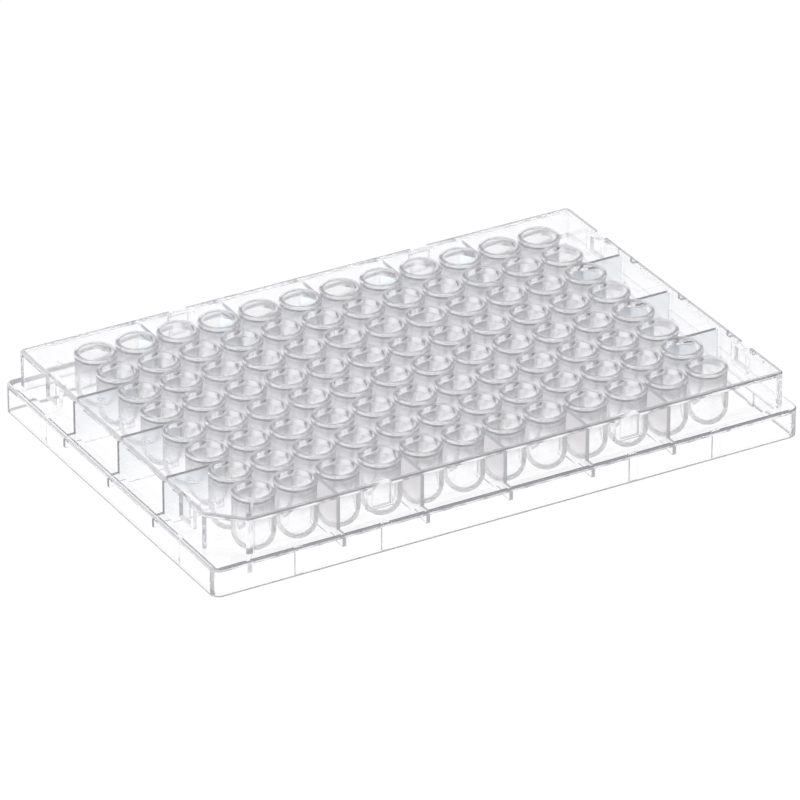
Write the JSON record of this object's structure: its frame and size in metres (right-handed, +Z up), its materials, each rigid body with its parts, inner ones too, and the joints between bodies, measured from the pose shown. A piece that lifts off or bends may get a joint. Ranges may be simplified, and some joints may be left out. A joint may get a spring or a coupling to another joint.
{
  "type": "well plate",
  "caption": "Clear moulded microplate with a grid of round-bottomed wells, raised rims around their mouths, a stepped skirt and one chamfered corner.",
  "frame": {"origin": "middle of the footprint, on the surface that the skirt stands on", "axes": "+X along the long side from column 1 to column 12, +Y along the short side from row H to row A, +Z up out of the wells"},
  "size_m": [0.1278, 0.0854, 0.0141],
  "materials": {
    "clear_polystyrene": "clear glossy moulded polystyrene"
  },
  "bodies": {
    "root": {"well_plate": "clear_polystyrene"}
  },
  "joints": []
}
